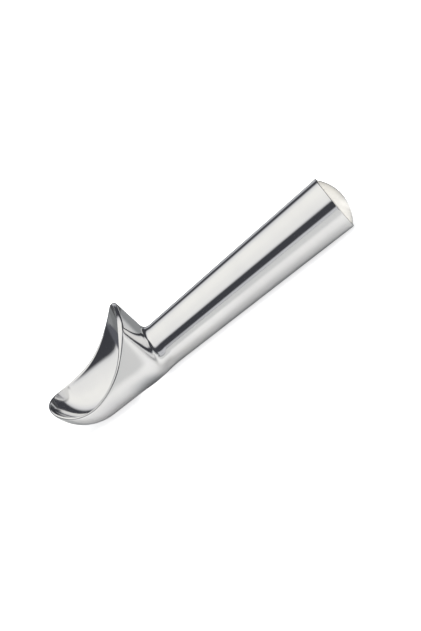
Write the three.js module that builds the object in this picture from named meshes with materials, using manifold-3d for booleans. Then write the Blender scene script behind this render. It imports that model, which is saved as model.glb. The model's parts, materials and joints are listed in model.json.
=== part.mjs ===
// Ice cream scoop with a fluid-filled handle, in millimetres, +Z up.
// It lies with its bowl open upwards. +X runs from the bowl to the capped end of the handle.
import * as THREE from "three";
import { mergeVertices } from "three/addons/utils/BufferGeometryUtils.js";
import Module from "manifold-3d";

// Bowl: lengths run back from its front tip, heights up from the table
const bowlDiameter = 50;
const bowlLength = 66;
const bowlLift = 0.6;
const noseLength = 26.4;
const backLength = 21.2;
const backFullness = 0.32;
const backLean = 2.2;

// Rim: a saddle curve from the front lip through its low point to the peak at the back
const lipDrop = 0.8;
const rimLowHeight = 18.6;
const rimLowSetback = 18.9;
const peakHeight = 45.2;

// Bowl walls at the rim, at the lip, at the peak and below the cavity
const rimWall = 1.9;
const lipWall = 1.5;
const backWall = 1.8;
const floorWall = 4.5;

// Cavity: its sides would stand upright only at a height over the rim, and its back leans out by
// a share of the height
const flareHeight = 12.5;
const backFlare = 0.22;
const innerNoseEnd = 25;
const innerNoseFullness = 2;
const innerBackLength = 20;
const innerBackFullness = 4;

// Handle: a taper whose underside lies flat on the table
const neckDiameter = 25;
const endDiameter = 32;
const handleLength = 121.5;
const endEdge = 0.4;

// Fillet of the handle into the bowl's back
const creaseLeg = 4.2;
const longestBlend = 6;
const leastStep = 0.02;

// Hollow of the handle, from its open end inwards
const endRimWidth = 1.2;
const capSeatDepth = 2.2;
const capSeatStep = 1.7;
const boreDepth = 13;
const plugSeatStep = 1.3;
const chamberFrontDiameter = 19.2;
const chamberNoseLength = 4.5;
const web = 3;

// Pieces in the hollow
const clearance = 0.3;
const plugLength = 7;
const plugDishDiameter = 14;
const plugDishDepth = 3;
const ringGrooveWidth = 2.6;
const ringGrooveDepth = 1.9;
const capDomeHeight = 5.6;
const capEdgeHeight = 0.3;
const capShell = 1.8;
const capSkirtShell = 1.4;
const capRibHeight = 0.4;
const capRibWidth = 0.9;
const fluidAirSpace = 6;
const fluidLevel = 20;

// Facets
const arcSteps = 40;
const bowlSteps = 22;
const peakSteps = 11;
const wallSteps = 6;
const blendSteps = 6;
const cornerSteps = 8;
const roundSteps = 64;
const domeSteps = 8;

// Worked out from the sizes above
const bowlRadius = bowlDiameter / 2;
const bowlAxisHeight = bowlLift + bowlRadius;
const backStart = bowlLength - backLength;
const seamX = backStart + backLength / 2;
const neckRadius = neckDiameter / 2;
const endRadius = endDiameter / 2;
const taper = (endRadius - neckRadius) / handleLength;
const tilt = Math.asin(taper);
const handleAxis = new THREE.Vector3(Math.cos(tilt), 0, Math.sin(tilt));
const handleDown = new THREE.Vector3(Math.sin(tilt), 0, -Math.cos(tilt));
const neck = new THREE.Vector3(bowlLength, 0, neckRadius * Math.cos(tilt));
const overallLength = bowlLength + (handleLength + capDomeHeight) * Math.cos(tilt);
const handleRadius = (along) => neckRadius + taper * along;

const clamp = THREE.MathUtils.clamp;
const lerp = THREE.MathUtils.lerp;
const smooth = (x, from, to) => THREE.MathUtils.smoothstep(x, from, to);

// The value between low and high at which isBelow turns from true to false.
function solve(low, high, isBelow) {
  for (let k = 0; k < 48; k++) {
    const middle = (low + high) / 2;
    if (isBelow(middle)) low = middle;
    else high = middle;
  }
  return (low + high) / 2;
}

// A body like a bowl, open upwards, told by its half width at each station and height.
class BowlForm {
  holds(x, y, z) {
    return this.halfWidthAt(x, z) > Math.abs(y);
  }

  // Height of the floor on the middle plane.
  floorHeight(x) {
    return solve(0, rimHeight(x), (z) => !this.holds(x, 0, z));
  }

  // One section below a point of the rim, swept from left to right by its angle about a pole on
  // the middle plane.
  arc(rim, pole) {
    const end = Math.atan2(rim.y, pole - rim.z);
    const points = [];
    for (let k = 0; k <= arcSteps; k++) {
      const angle = lerp(-end, end, k / arcSteps);
      const sine = Math.sin(angle);
      const cosine = Math.cos(angle);
      const reach = solve(0, 4 * bowlRadius, (d) => this.holds(rim.x, d * sine, pole - d * cosine));
      points.push(new THREE.Vector3(rim.x, reach * sine, pole - reach * cosine));
    }
    return points;
  }

  // The sections from the front lip back to the seam, where the pole has sunk to seamPole.
  arcs(rims, seamPole) {
    return rims.map((rim, k) => {
      if (k === 0) return Array(arcSteps + 1).fill(rim);
      return this.arc(rim, lerp(bowlAxisHeight, seamPole, smooth(rim.x, noseLength, seamX)));
    });
  }
}

// Rim height: the cubic that is level at the low point and passes the lip and the peak.
const peakX = bowlLength - (backLean * (peakHeight - bowlAxisHeight)) / bowlRadius;
const peakSetback = peakX - rimLowSetback;
const lipRise = (bowlAxisHeight - lipDrop - rimLowHeight) / rimLowSetback ** 2;
const peakRise = (peakHeight - rimLowHeight) / peakSetback ** 2;
const rimCubic = (peakRise - lipRise) / (peakSetback + rimLowSetback);
const rimSquare = lipRise + rimCubic * rimLowSetback;
function rimHeight(x) {
  const from = x - rimLowSetback;
  return rimLowHeight + rimSquare * from ** 2 + rimCubic * from ** 3;
}

// The outside: half a circle below and upright walls above. In plan it has an elliptical nose,
// straight sides and a full round back, which leans forward.
class Outside extends BowlForm {
  halfWidthAt(x, z) {
    const inNose = x < noseLength;
    const ahead = clamp(1 - x / noseLength, 0, 1);
    const reach = backLength - (backLean * (z - bowlAxisHeight)) / bowlRadius;
    const share = clamp((x - backStart) / reach, 0, 1);
    const width = bowlRadius * (inNose ? Math.sqrt(1 - ahead * ahead) : (1 - share * share) ** backFullness);
    const floor = bowlLift * (1 - smooth(x, backStart, seamX));
    const centre = inNose ? bowlAxisHeight : floor + width;
    const squared = width * width - Math.max(centre - z, 0) ** 2;
    return squared < 0 ? -1 : Math.sqrt(squared);
  }
}

// The cavity: oval sections that still flare at the rim, a round nose and a back that leans out.
const cavityFloor = bowlLift + floorWall;
const shareOverRim = (rim) => flareHeight / (rim + flareHeight - cavityFloor);
class Cavity extends BowlForm {
  constructor() {
    super();
    const atLip = 1 - shareOverRim(rimHeight(lipWall)) ** 2;
    this.noseLength = (innerNoseEnd - lipWall) / atLip ** (1 / innerNoseFullness);
    const atPeak = 1 - shareOverRim(peakHeight) ** 2;
    this.backStart = peakX - backWall - innerBackLength * atPeak ** (1 / innerBackFullness);
  }

  halfWidthAt(x, z) {
    const rim = rimHeight(x);
    const upright = rim + flareHeight;
    const below = Math.max(upright - z, 0) / (upright - cavityFloor);
    const outer = Math.sqrt(bowlRadius ** 2 - Math.max(bowlAxisHeight - rim, 0) ** 2);
    const widest = (outer - rimWall) / Math.sqrt(1 - shareOverRim(rim) ** 2);
    const ahead = Math.max((innerNoseEnd - x) / this.noseLength, 0);
    const start = this.backStart - backFlare * (peakHeight - z);
    const behind = Math.max((x - start) / innerBackLength, 0);
    const squared = 1 - below ** 2 - ahead ** innerNoseFullness - behind ** innerBackFullness;
    return squared > 0 ? widest * Math.sqrt(squared) : -1;
  }
}

const outside = new Outside();
const cavity = new Cavity();

const rimWidth = (x) => outside.halfWidthAt(x, rimHeight(x));

// The right half of the rim's outer edge, from the lip past the seam to the peak.
function rimEdge() {
  const lip = solve(-1, noseLength, (x) => rimWidth(x) <= 0);
  const points = [];
  for (let k = 0; k <= bowlSteps; k++) {
    const x = lerp(lip, seamX, 1 - Math.cos((Math.PI / 2) * (k / bowlSteps)));
    points.push(new THREE.Vector3(x, k === 0 ? 0 : rimWidth(x), rimHeight(x)));
  }
  for (let k = 1; k <= peakSteps; k++) {
    const y = k === peakSteps ? 0 : rimWidth(seamX) * Math.cos((Math.PI / 2) * (k / peakSteps));
    const x = solve(seamX, bowlLength + backLean, (at) => rimWidth(at) > y);
    points.push(new THREE.Vector3(x, y, rimHeight(x)));
  }
  return points;
}

// The rim's inner edge: where level lines square to the outer edge meet the cavity.
function rimInside(edge) {
  const last = edge.length - 1;
  const nudge = 0.001;
  return edge.map((p, k) => {
    const slope = (rimWidth(p.x + nudge) - rimWidth(p.x - nudge)) / (2 * nudge);
    const inward = new THREE.Vector3(slope, -1, 0).normalize();
    if (k === 0) inward.set(1, 0, 0);
    if (k === last) inward.set(-1, 0, 0);
    const inAt = (run) => p.clone().addScaledVector(inward, run);
    const isWall = (run) => {
      const q = inAt(run);
      return !cavity.holds(q.x, q.y, q.z);
    };
    return inAt(solve(0, bowlRadius / 2, isWall));
  });
}

// Half a line of the rim from the seam to the peak, carried on over the peak to the left.
function overPeak(half) {
  const left = half.slice(0, -1).map((p) => new THREE.Vector3(p.x, -p.y, p.z));
  return [...half, ...left.toReversed()];
}

// A point of the handle from its distance along the axis, its radius and its angle from below.
function handlePoint(along, radius, angle) {
  const point = neck.clone().addScaledVector(handleAxis, along);
  point.addScaledVector(handleDown, radius * Math.cos(angle));
  point.y += radius * Math.sin(angle);
  return point;
}

// The same three numbers of a point.
function handlePlace(point) {
  const from = point.clone().sub(neck);
  const down = from.dot(handleDown);
  return {
    along: from.dot(handleAxis),
    radius: Math.hypot(down, from.y),
    angle: Math.atan2(from.y, down),
  };
}

// One line of the outside in a half-plane through the handle's axis: from a point of the bowl,
// down its back, round the blend and onto the handle.
function blendLine(start) {
  const { along, radius, angle } = handlePlace(start);
  const backAt = (r) =>
    solve(along, handleLength / 2, (s) => {
      const p = handlePoint(s, r, angle);
      return outside.holds(p.x, p.y, p.z);
    });
  const stands = radius - handleRadius(along) > leastStep;
  const foot = stands ? solve(0, radius, (r) => r < handleRadius(backAt(r))) : radius;
  const blendRadius = foot + Math.min(creaseLeg, 0.85 * (radius - foot));
  const nudge = 0.02;
  const top = new THREE.Vector2(stands ? backAt(blendRadius) : along, blendRadius);
  const slope = stands ? (backAt(blendRadius - nudge) - top.x) / nudge : 0;
  const drop = top.y - handleRadius(top.x);
  const run = stands ? clamp((drop * slope) / (1 + taper * slope), 0, longestBlend) : longestBlend;
  const knee = new THREE.Vector2(top.x + run, handleRadius(top.x + run));
  const end = knee.x + knee.distanceTo(top);
  const blend = new THREE.QuadraticBezierCurve(top, knee, new THREE.Vector2(end, handleRadius(end)));
  const line = [start];
  for (let k = 1; k < wallSteps; k++) {
    const r = lerp(radius, blendRadius, k / wallSteps);
    line.push(handlePoint(stands ? backAt(r) : along, r, angle));
  }
  for (const p of blend.getPoints(blendSteps)) line.push(handlePoint(p.x, p.y, angle));
  return line;
}

// The hollow of the handle as radius and distance along the axis, from the outer edge of the
// end rim to the middle of the chamber's front.
const capSeatRadius = endRadius - endRimWidth;
const boreRadius = capSeatRadius - capSeatStep;
const capSeat = handleLength - capSeatDepth;
const plugSeat = capSeat - boreDepth;
const chamberEndRadius = boreRadius - plugSeatStep;
const chamberFrontRadius = chamberFrontDiameter / 2;
const chamberTop = neck.z + chamberFrontRadius;
const cavityBack = solve(backStart, bowlLength, (x) => cavity.holds(x, 0, chamberTop));
const chamberFront = cavityBack + web - bowlLength;

// The chamber's drafted wall and round front, drawn in by a gap, from one station to the tip.
function chamberProfile(from, gap) {
  const draft = (chamberEndRadius - chamberFrontRadius) / (plugSeat - chamberFront);
  const points = [new THREE.Vector2(chamberFrontRadius + draft * (from - chamberFront) - gap, from)];
  for (let k = 0; k <= cornerSteps / 2; k++) {
    const turn = (Math.PI * k) / cornerSteps;
    const radius = (chamberFrontRadius - gap) * Math.cos(turn);
    points.push(new THREE.Vector2(radius, chamberFront - (chamberNoseLength - gap) * Math.sin(turn)));
  }
  points[points.length - 1].x = 0;
  return points;
}

const hollow = [
  new THREE.Vector2(endRadius - taper * endEdge, handleLength - endEdge),
  new THREE.Vector2(endRadius - endEdge, handleLength),
  new THREE.Vector2(capSeatRadius, handleLength),
  new THREE.Vector2(capSeatRadius, capSeat),
  new THREE.Vector2(boreRadius, capSeat),
  new THREE.Vector2(boreRadius, plugSeat),
  ...chamberProfile(plugSeat, 0),
];

// A closed skin from grids of points.
class Skin {
  positions = [];

  triangle(a, b, c) {
    for (const p of [a, b, c]) this.positions.push(p.x, p.y, p.z);
  }

  quad(a, b, c, d) {
    this.triangle(a, c, b);
    this.triangle(a, d, c);
  }

  // Rows that each close on themselves.
  rings(rows) {
    for (let i = 0; i + 1 < rows.length; i++) {
      const count = rows[i].length;
      for (let j = 0; j < count; j++) {
        const next = (j + 1) % count;
        this.quad(rows[i][j], rows[i + 1][j], rows[i + 1][next], rows[i][next]);
      }
    }
  }

  // Vertices merged, and triangles that have closed up at a pole left out.
  geometry() {
    const loose = new THREE.BufferGeometry();
    loose.setAttribute("position", new THREE.Float32BufferAttribute(this.positions, 3));
    const merged = mergeVertices(loose, 1e-3);
    const all = merged.index.array;
    const kept = [];
    for (let k = 0; k < all.length; k += 3) {
      const [a, b, c] = [all[k], all[k + 1], all[k + 2]];
      if (a !== b && b !== c && c !== a) kept.push(a, b, c);
    }
    merged.setIndex(kept);
    return merged;
  }
}

// Bowl and handle as one casting: C-shaped sections for the open front, then the bowl's back
// blending into the handle outside, the back of the cavity inside, and the hollow of the handle.
function castingGeometry() {
  const skin = new Skin();
  const edge = rimEdge();
  const inside = rimInside(edge);
  const innerSeam = inside[bowlSteps].x;
  const innerPole = (cavity.floorHeight(innerSeam) + rimHeight(innerSeam)) / 2;
  const outerArcs = outside.arcs(edge.slice(0, bowlSteps + 1), neck.z);
  const innerArcs = cavity.arcs(inside.slice(0, bowlSteps + 1), innerPole);
  skin.rings(outerArcs.map((arc, k) => [...arc, ...innerArcs[k].toReversed()]));

  const outerRim = overPeak(edge.slice(bowlSteps));
  const innerRim = overPeak(inside.slice(bowlSteps));
  for (let k = 0; k < 2 * peakSteps; k++) {
    skin.quad(outerRim[k], outerRim[k + 1], innerRim[k + 1], innerRim[k]);
  }

  const lines = [...outerArcs.at(-1), ...outerRim.slice(1, -1)].map(blendLine);
  const angles = lines.map((line) => handlePlace(line[0]).angle);
  const rows = lines[0].map((_, k) => lines.map((line) => line[k]));
  for (const { x: radius, y: along } of hollow) {
    rows.push(angles.map((angle) => handlePoint(along, radius, angle)));
  }
  skin.rings(rows);

  const innerLoop = [...innerArcs.at(-1).toReversed(), ...innerRim.toReversed().slice(1, -1)];
  const innerRows = [innerLoop];
  for (let k = 1; k <= cornerSteps; k++) {
    const share = 1 - k / cornerSteps;
    innerRows.push(
      innerLoop.map((start) => {
        const y = start.y * share;
        const z = lerp(innerPole, start.z, share);
        return new THREE.Vector3(solve(innerSeam, bowlLength, (x) => cavity.holds(x, y, z)), y, z);
      }),
    );
  }
  skin.rings(innerRows);
  return skin.geometry();
}

// A turned piece about the handle's axis, from its profile as radius and distance along it.
function turned(profile) {
  const geometry = new THREE.LatheGeometry(profile, roundSteps);
  geometry.deleteAttribute("normal");
  geometry.deleteAttribute("uv");
  return mergeVertices(geometry, 1e-4);
}

const closed = (points) => [...points, points[0].clone()];
const at = (radius, along) => new THREE.Vector2(radius, along);

// The plug: a short cylinder with a ring groove, seated on the chamber's end, dished behind.
const plugFront = plugSeat + clearance;
const plugBack = plugFront + plugLength;
const plugRadius = boreRadius - clearance;
const grooveFront = plugFront + (plugLength - ringGrooveWidth) / 2;
function plugGeometry() {
  const bottom = plugRadius - ringGrooveDepth;
  const dish = plugDishDiameter / 2;
  return turned([
    at(0, plugFront),
    at(plugRadius, plugFront),
    at(plugRadius, grooveFront),
    at(bottom, grooveFront),
    at(bottom, grooveFront + ringGrooveWidth),
    at(plugRadius, grooveFront + ringGrooveWidth),
    at(plugRadius, plugBack),
    at(dish, plugBack),
    at(dish, plugBack - plugDishDepth),
    at(0, plugBack - plugDishDepth),
  ]);
}

// The ring that seals the plug: it fills the groove between the plug and the bore.
function ringGeometry() {
  const inner = plugRadius - ringGrooveDepth + clearance;
  const section = (boreRadius - clearance - inner) / 2;
  const points = [];
  for (let k = 0; k < 2 * domeSteps; k++) {
    const turn = (Math.PI * k) / domeSteps;
    const along = grooveFront + ringGrooveWidth / 2 + section * Math.sin(turn);
    points.push(at(inner + section + section * Math.cos(turn), along));
  }
  return turned(closed(points));
}

// The cap: a domed shell whose rim sits in the counterbore, with a ribbed skirt in the bore that
// keeps the plug on its seat.
function capGeometry() {
  const rim = capSeatRadius - clearance;
  const skirt = boreRadius - clearance - capRibHeight;
  const seat = capSeat + clearance;
  const skirtEnd = plugBack + clearance;
  const inside = skirt - capSkirtShell;
  const edge = handleLength + capEdgeHeight;
  const rise = capDomeHeight - capEdgeHeight;
  const domeRadius = (rim * rim + rise * rise) / (2 * rise);
  const domeCentre = handleLength + capDomeHeight - domeRadius;
  const dome = (radius, shell) => domeCentre + Math.sqrt((domeRadius - shell) ** 2 - radius * radius);
  const profile = [at(0, dome(0, capShell))];
  for (let k = 1; k <= domeSteps; k++) {
    const radius = (inside * k) / domeSteps;
    profile.push(at(radius, dome(radius, capShell)));
  }
  profile.push(at(inside, skirtEnd));
  profile.push(at(skirt, skirtEnd));
  const ribPitch = (seat - skirtEnd) / 3;
  for (const rib of [1, 2]) {
    const middle = skirtEnd + rib * ribPitch;
    profile.push(at(skirt, middle - capRibWidth));
    profile.push(at(skirt + capRibHeight, middle));
    profile.push(at(skirt, middle + capRibWidth / 3));
  }
  profile.push(at(skirt, seat));
  profile.push(at(rim, seat));
  profile.push(at(rim, edge));
  for (let k = 1; k <= domeSteps; k++) {
    const radius = rim * (1 - k / domeSteps);
    profile.push(at(radius, dome(radius, 0)));
  }
  return turned(profile);
}

const wasm = await Module();
wasm.setup();

function solidOf(geometry) {
  return new wasm.Manifold(
    new wasm.Mesh({
      numProp: 3,
      vertProperties: new Float32Array(geometry.attributes.position.array),
      triVerts: new Uint32Array(geometry.index.array),
    }),
  );
}

function geometryOf(solid) {
  const mesh = solid.getMesh();
  const geometry = new THREE.BufferGeometry();
  geometry.setAttribute("position", new THREE.BufferAttribute(mesh.vertProperties, 3));
  geometry.setIndex(new THREE.BufferAttribute(mesh.triVerts, 1));
  return geometry;
}

// The frame of the turned pieces: its +Y is the handle's axis, from the neck to the cap.
const handleFrame = new THREE.Group();
handleFrame.position.copy(neck);
handleFrame.quaternion.setFromUnitVectors(new THREE.Vector3(0, 1, 0), handleAxis);
handleFrame.updateMatrix();

// The liquid: the chamber's shape short of the plug by an air space, level on top as it lies.
function fluidGeometry() {
  const end = plugSeat - fluidAirSpace;
  const full = turned([...chamberProfile(end, clearance).toReversed(), at(0, end)]);
  const lying = full.clone().applyMatrix4(handleFrame.matrix);
  const below = new THREE.BoxGeometry(2 * overallLength, bowlDiameter, 2 * fluidLevel);
  below.deleteAttribute("normal");
  below.deleteAttribute("uv");
  return geometryOf(solidOf(lying).intersect(solidOf(mergeVertices(below))));
}

function piece(name, geometry, color, roughness, metalness) {
  const material = new THREE.MeshStandardMaterial({ color, roughness, metalness });
  const mesh = new THREE.Mesh(geometry, material);
  mesh.name = name;
  return mesh;
}

handleFrame.add(piece("end_cap", capGeometry(), 0xf2eee2, 0.25, 0));
handleFrame.add(piece("chamber_plug", plugGeometry(), 0x8a8d90, 0.5, 0));
handleFrame.add(piece("plug_o_ring", ringGeometry(), 0x1c1c1e, 0.7, 0));

// The bowl's tip stands half the overall length ahead of the origin.
const scoop = new THREE.Group();
scoop.position.x = -overallLength / 2;
scoop.add(piece("scoop_casting", castingGeometry(), 0xd8d9da, 0.12, 1));
scoop.add(piece("heat_fluid", fluidGeometry(), 0xcfd9c8, 0.1, 0));
scoop.add(handleFrame);

const part = new THREE.Group();
part.add(scoop);
export default part;
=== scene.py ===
"""Looks of an ice cream scoop: a polished casting, its ivory end cap and the pieces in its handle.

Sizes in the classes are millimetres, as in the part's source, and meshes are made in metres.
+X runs from the bowl to the capped end of the handle, and +Z is up.
"""

from __future__ import annotations

import json
import logging
import math
from abc import ABC, abstractmethod
from dataclasses import dataclass, field
from enum import Enum
from typing import Any, Callable

import bmesh
import bpy
import numpy as np
from mathutils import Matrix, Vector

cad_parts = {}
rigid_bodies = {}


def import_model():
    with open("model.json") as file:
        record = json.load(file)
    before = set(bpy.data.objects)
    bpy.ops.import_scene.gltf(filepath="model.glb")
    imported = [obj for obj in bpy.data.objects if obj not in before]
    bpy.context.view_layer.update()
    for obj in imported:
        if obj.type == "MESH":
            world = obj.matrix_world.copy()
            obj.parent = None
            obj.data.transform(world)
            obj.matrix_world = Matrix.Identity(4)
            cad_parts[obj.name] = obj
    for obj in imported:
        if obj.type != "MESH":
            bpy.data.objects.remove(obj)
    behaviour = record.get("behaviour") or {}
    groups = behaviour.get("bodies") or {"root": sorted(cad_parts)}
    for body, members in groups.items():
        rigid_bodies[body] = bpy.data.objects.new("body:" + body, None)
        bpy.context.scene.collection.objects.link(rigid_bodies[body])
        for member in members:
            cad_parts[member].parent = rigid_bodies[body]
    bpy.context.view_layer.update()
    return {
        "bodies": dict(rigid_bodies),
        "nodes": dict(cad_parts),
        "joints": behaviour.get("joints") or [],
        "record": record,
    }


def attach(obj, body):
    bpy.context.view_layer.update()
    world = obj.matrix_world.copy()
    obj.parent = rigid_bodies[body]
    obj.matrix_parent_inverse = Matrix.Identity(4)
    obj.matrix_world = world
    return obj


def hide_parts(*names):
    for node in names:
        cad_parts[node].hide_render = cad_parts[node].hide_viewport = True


LOG = logging.getLogger("scoop")
METRE = 0.001
WELD = 2e-7
SLIVER = 1e-8
BODY = "root"
IMAGE_WIDTH = 421
IMAGE_HEIGHT = 631

Array = np.ndarray


class Slot(Enum):
    """The record's material slots."""

    METAL = "cast_metal"
    FLUID = "fluid"
    PLUG = "plug_plastic"
    RING = "ring_rubber"
    CAP = "cap_plastic"


# Node trees


class Signal:
    """One value in a node tree, with Python's operators for its maths."""

    def __init__(self, graph: Graph, socket: bpy.types.NodeSocket) -> None:
        """Wrap an output socket of a graph."""
        self.graph = graph
        self.socket = socket

    def _maths(self, operation: str, *values: Any) -> Signal:
        """The result of a new Math node on signals or numbers."""
        inputs = dict(enumerate(values))
        return self.graph.node("ShaderNodeMath", {"operation": operation}, inputs)

    def __add__(self, other: Any) -> Signal:
        """Sum."""
        return self._maths("ADD", self, other)

    __radd__ = __add__

    def __sub__(self, other: Any) -> Signal:
        """Difference."""
        return self._maths("SUBTRACT", self, other)

    def __rsub__(self, other: Any) -> Signal:
        """Difference from a number."""
        return self._maths("SUBTRACT", other, self)

    def __mul__(self, other: Any) -> Signal:
        """Product."""
        return self._maths("MULTIPLY", self, other)

    __rmul__ = __mul__

    def __truediv__(self, other: Any) -> Signal:
        """Quotient."""
        return self._maths("DIVIDE", self, other)

    def __rtruediv__(self, other: Any) -> Signal:
        """Quotient of a number."""
        return self._maths("DIVIDE", other, self)

    def __neg__(self) -> Signal:
        """Negative."""
        return self._maths("MULTIPLY", self, -1.0)

    def __abs__(self) -> Signal:
        """Size without sign."""
        return self._maths("ABSOLUTE", self)

    def floor(self) -> Signal:
        """Whole part."""
        return self._maths("FLOOR", self)

    def sin(self) -> Signal:
        """Sine of an angle in radians."""
        return self._maths("SINE", self)

    def cos(self) -> Signal:
        """Cosine of an angle in radians."""
        return self._maths("COSINE", self)

    def angle_to(self, other: Any) -> Signal:
        """Angle, in radians, whose sine goes with self and cosine with other."""
        return self._maths("ARCTAN2", self, other)

    def most(self, other: Any) -> Signal:
        """The larger of two values."""
        return self._maths("MAXIMUM", self, other)

    def step(self, start: float, end: float) -> Signal:
        """Rise smoothly from 0 at start to 1 at end."""
        settings = {"interpolation_type": "SMOOTHSTEP"}
        return self.graph.node("ShaderNodeMapRange", settings, {0: self, 1: start, 2: end})

    def span(self, low: float, high: float) -> Signal:
        """Spread a value from 0..1 over low..high."""
        return self * (high - low) + low


class Graph:
    """A node tree that is written as expressions."""

    def __init__(self, tree: bpy.types.NodeTree) -> None:
        """Start on a tree, emptied."""
        self.tree = tree
        tree.nodes.clear()

    def node(
        self,
        kind: str,
        settings: dict[str, Any] | None = None,
        inputs: dict[Any, Any] | None = None,
        output: Any = 0,
    ) -> Signal:
        """Add a node.

        Args:
            kind: The node's type.
            settings: Its settings, set before its sockets. "stops" holds a ramp's positions and colours.
            inputs: Values or signals by socket name or number.
            output: Name or number of the output to return.

        Returns:
            The output asked for.
        """
        made = self.tree.nodes.new(kind)
        for name, value in (settings or {}).items():
            if name == "stops":
                self._set_stops(made.color_ramp, value)
            else:
                setattr(made, name, value)
        for name, value in (inputs or {}).items():
            socket = made.inputs[name]
            if isinstance(value, Signal):
                self.tree.links.new(value.socket, socket)
            else:
                socket.default_value = value
        socket = made.outputs[output] if len(made.outputs) else None
        return Signal(self, socket)

    @staticmethod
    def _set_stops(ramp: bpy.types.ColorRamp, stops: list[tuple[float, tuple]]) -> None:
        """Set a ramp's stops.

        Args:
            ramp: The ramp.
            stops: Positions and colours, in order.
        """
        while len(ramp.elements) < len(stops):
            ramp.elements.new(1.0)
        for element, (position, colour) in zip(ramp.elements, stops):
            element.position = position
            element.color = colour

    def split(self, vector: Signal) -> tuple[Signal, ...]:
        """The X, Y and Z of a vector."""
        outputs = self.node("ShaderNodeSeparateXYZ", {}, {0: vector}).socket.node.outputs
        return tuple(Signal(self, outputs[name]) for name in "XYZ")

    def noise(self, where: Signal, scale: float, detail: float = 3.0) -> Signal:
        """Even noise around 0.5, with a scale in features a metre."""
        inputs = {"Vector": where, "Scale": scale, "Detail": detail}
        return self.node("ShaderNodeTexNoise", {}, inputs, "Fac")

    def blend(self, share: Any, first: Any, second: Any) -> Signal:
        """Mix two colours by the share of the second, through a Mix node's sockets for colours."""
        return self.node("ShaderNodeMix", {"data_type": "RGBA"}, {0: share, 6: first, 7: second}, 2)


@dataclass(frozen=True)
class Fade:
    """A smooth rise from 0 at one place to a height at another."""

    start: float
    end: float
    height: float = 1.0

    def at(self, place: Signal) -> Signal:
        """The risen value at a place."""
        return place.step(self.start, self.end) * self.height

    def until(self, fall: Fade, place: Signal) -> Signal:
        """The risen value at a place, taken back by a second fade."""
        return self.at(place) * (1.0 - fall.at(place))


def srgb(red: int, green: int, blue: int) -> tuple[float, float, float, float]:
    """A linear colour from 8-bit display values.

    Args:
        red: Red, 0 to 255.
        green: Green, 0 to 255.
        blue: Blue, 0 to 255.

    Returns:
        The colour with full alpha.
    """

    def linear(value: int) -> float:
        """One channel."""
        share = value / 255
        return share / 12.92 if share <= 0.04045 else ((share + 0.055) / 1.055) ** 2.4

    return (linear(red), linear(green), linear(blue), 1.0)


def add_object(name: str, data: Any) -> bpy.types.Object:
    """Put an object with a mesh, a camera or a light into the scene.

    Args:
        name: The object's name.
        data: What it holds.

    Returns:
        The object.
    """
    made = bpy.data.objects.new(name, data)
    bpy.context.scene.collection.objects.link(made)
    return made


# Finishes

MOTTLE = Fade(0.3, 0.7)


@dataclass(frozen=True)
class Finish:
    """What every finish has: a name, and a surface with a soft variation of tone and gloss."""

    name: str
    colour: tuple[float, float, float, float]
    shade: tuple[float, float, float, float]
    roughness: float
    roughness_spread: float
    metallic: float = 0.0
    coat: float = 0.0
    mottle_scale: float = 60.0
    grain_scale: float = 900.0
    grain_height: float = 0.00001

    def material(self) -> bpy.types.Material:
        """Build the material.

        Returns:
            A procedural material on Object coordinates.
        """
        made = bpy.data.materials.new(self.name)
        made.use_nodes = True
        graph = Graph(made.node_tree)
        where = graph.node("ShaderNodeTexCoord", output="Object")
        mottle = graph.noise(where, self.mottle_scale)
        grain = self.grain(graph, where)
        spread = self.roughness_spread
        bump = graph.node(
            "ShaderNodeBump",
            {},
            {"Strength": 1.0, "Distance": self.grain_height, "Height": grain},
        )
        surface = graph.node(
            "ShaderNodeBsdfPrincipled",
            {},
            {
                "Base Color": graph.blend(MOTTLE.at(mottle), self.colour, self.shade),
                "Roughness": mottle.span(self.roughness - spread, self.roughness + spread),
                "Metallic": self.metallic,
                "Coat Weight": self.coat,
                "Normal": bump,
            },
        )
        graph.node("ShaderNodeOutputMaterial", {}, {"Surface": surface})
        return made

    def grain(self, graph: Graph, where: Signal) -> Signal:
        """Height of the fine relief, from 0 to 1."""
        return graph.noise(where, self.grain_scale)


@dataclass(frozen=True)
class PolishedAluminium(Finish):
    """Cast aluminium, buffed to a soft mirror with a trace of the buff's lines along it."""

    line_scale: float = 2600.0
    line_stretch: float = 0.03
    line_share: float = 0.2
    line_detail: float = 2.0
    wave_detail: float = 1.0

    def grain(self, graph: Graph, where: Signal) -> Signal:
        """Faint waviness of the casting under the buff's lines.

        Args:
            graph: The material's graph.
            where: Object coordinates.

        Returns:
            The relief's height from 0 to 1.
        """
        stretch = graph.node(
            "ShaderNodeMapping",
            {},
            {"Vector": where, "Scale": (self.line_stretch, 1.0, 1.0)},
        )
        lines = graph.noise(stretch, self.line_scale, self.line_detail)
        waves = graph.noise(where, self.grain_scale, self.wave_detail)
        return waves * (1 - self.line_share) + lines * self.line_share


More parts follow.
